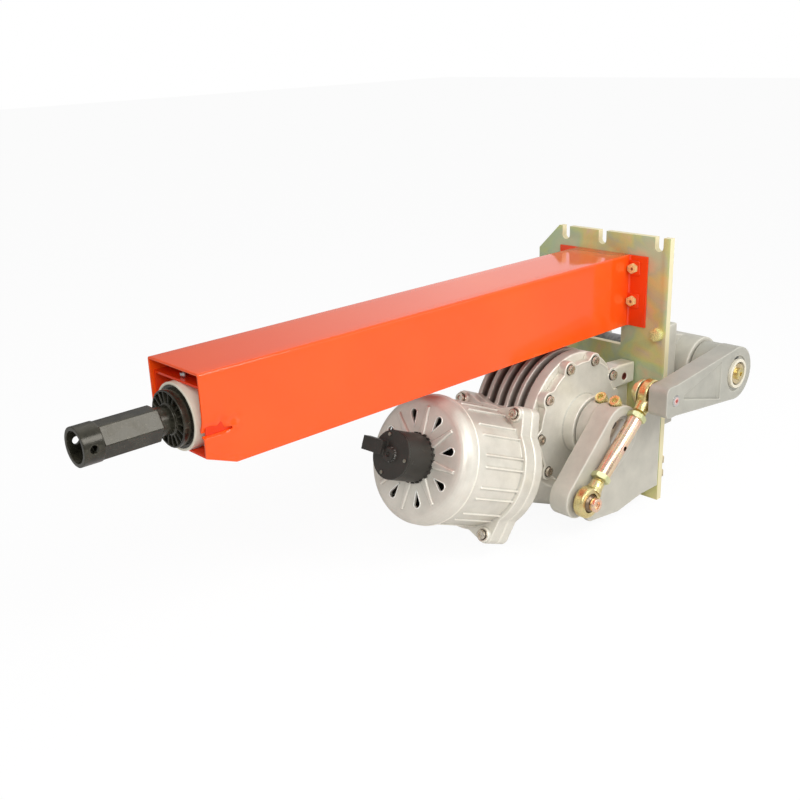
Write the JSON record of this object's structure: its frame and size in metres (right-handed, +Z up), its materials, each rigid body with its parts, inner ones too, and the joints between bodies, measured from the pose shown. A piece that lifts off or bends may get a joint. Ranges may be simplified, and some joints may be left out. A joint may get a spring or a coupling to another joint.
{
  "type": "barrier gate operator",
  "caption": "Barrier gate drive: worm gear motor, crank, tie rod and lever on a mounting plate with a box beam and a coupling plug.",
  "frame": {"origin": "on the rear face of the mounting plate, at the centreline of the beam", "axes": "+X out along the beam, +Y towards the crank and the lever, +Z up"},
  "size_m": [0.961, 0.365, 0.396],
  "materials": {
    "zinc_plate": "yellow-passivated zinc with a faint rainbow",
    "orange_paint": "glossy powder coat",
    "zinc_screws": "yellow-passivated zinc",
    "cream_nylon": "satin",
    "black_nylon": "satin",
    "bearing_steel": "ground",
    "cast_aluminium": "silver-painted casting",
    "grey_casting": "satin grey paint over a casting",
    "dark_steel": "oiled",
    "bronze": "machined",
    "rubber_seal": "matt",
    "copper_winding": "enamelled",
    "pink_zinc": "passivated zinc, pinkish gold",
    "pale_zinc": "passivated zinc, pale green gold",
    "black_plastic": "satin",
    "white_plastic": "satin"
  },
  "bodies": {
    "frame": {"mounting_plate": "zinc_plate", "beam_housing": "orange_paint", "beam_bolts": "zinc_screws", "beam_nuts": "zinc_screws", "sleeve_bracket": "orange_paint", "bearing_sleeve": "cream_nylon", "bracket_screw": "bearing_steel", "plug_bearings": "bearing_steel", "plug_axle": "bearing_steel", "axle_circlip": "dark_steel", "gearbox_housing": "cast_aluminium", "gearbox_cover": "cast_aluminium", "cover_screws": "zinc_screws", "output_bearings": "bearing_steel", "output_seal": "rubber_seal", "base_bolts": "zinc_screws", "worm_bearings": "bearing_steel", "motor_body": "cast_aluminium", "motor_cap": "cast_aluminium", "motor_screws": "zinc_screws", "cable_gland": "black_plastic", "stator_core": "dark_steel", "stator_windings": "copper_winding", "rear_motor_bearing": "bearing_steel", "encoder_housing": "black_plastic", "encoder_lid": "black_plastic", "encoder_screws": "bearing_steel", "side_bracket": "grey_casting", "side_bracket_bolts": "zinc_screws", "right_bearing_housing": "grey_casting", "left_bearing_housing": "grey_casting", "shaft_bushes": "bronze", "bearing_bolts": "zinc_screws"},
    "crank": {"output_shaft": "dark_steel", "worm_wheel": "bronze", "shaft_keys": "dark_steel", "crank_arm": "grey_casting", "crank_clamp_screws": "zinc_screws", "crank_pin": "pink_zinc"},
    "tie_rod": {"lower_rod_end": "zinc_screws", "upper_rod_end": "zinc_screws", "lower_ball": "bearing_steel", "upper_ball": "bearing_steel", "lower_lock_nut": "pale_zinc", "upper_lock_nut": "pale_zinc", "turnbuckle": "pink_zinc", "upper_pivot_bolt": "pale_zinc"},
    "lever": {"lever_arm": "grey_casting", "lever_pin_end": "bearing_steel", "main_shaft": "dark_steel", "lever_key": "dark_steel", "lever_washer": "cream_nylon", "lever_bolt": "zinc_screws"},
    "rotor": {"worm": "dark_steel", "worm_shaft": "dark_steel", "rotor_core": "dark_steel", "cooling_fan": "black_plastic", "encoder_disc": "white_plastic"},
    "coupling": {"coupling_plug": "black_nylon", "plug_end_disc": "black_nylon"}
  },
  "joints": [
    {"name": "crank_turn", "type": "hinge", "parent": "frame", "child": "crank", "pos_m": [0.139, 0.108, -0.172], "axis": [0, -1, 0], "range_deg": [0, 171]},
    {"name": "rod_pivot", "type": "hinge", "parent": "crank", "child": "tie_rod", "pos_m": [0.22903, 0.144, -0.23862], "axis": [0, -1, 0], "range_deg": [-176.32, 0]},
    {"name": "lever_turn", "type": "hinge", "parent": "frame", "child": "lever", "pos_m": [-0.066, 0.1, -0.124], "axis": [0, -1, 0], "range_deg": [0, 90]},
    {"name": "worm_spin", "type": "hinge", "parent": "frame", "child": "rotor", "pos_m": [0.17344, 0.008, -0.25515], "axis": [0.9239, 0, 0.3827], "range_deg": [-5985, 0]},
    {"name": "coupling_spin", "type": "hinge", "parent": "frame", "child": "coupling", "pos_m": [0.8, 0, -0.0104], "axis": [1, 0, 0], "continuous": true}
  ],
  "couplings": [
    {"joint": "lever_turn", "follows": "crank_turn", "ratio": 0.52631},
    {"joint": "rod_pivot", "follows": "crank_turn", "ratio": -1.0305},
    {"joint": "worm_spin", "follows": "crank_turn", "ratio": -35}
  ]
}
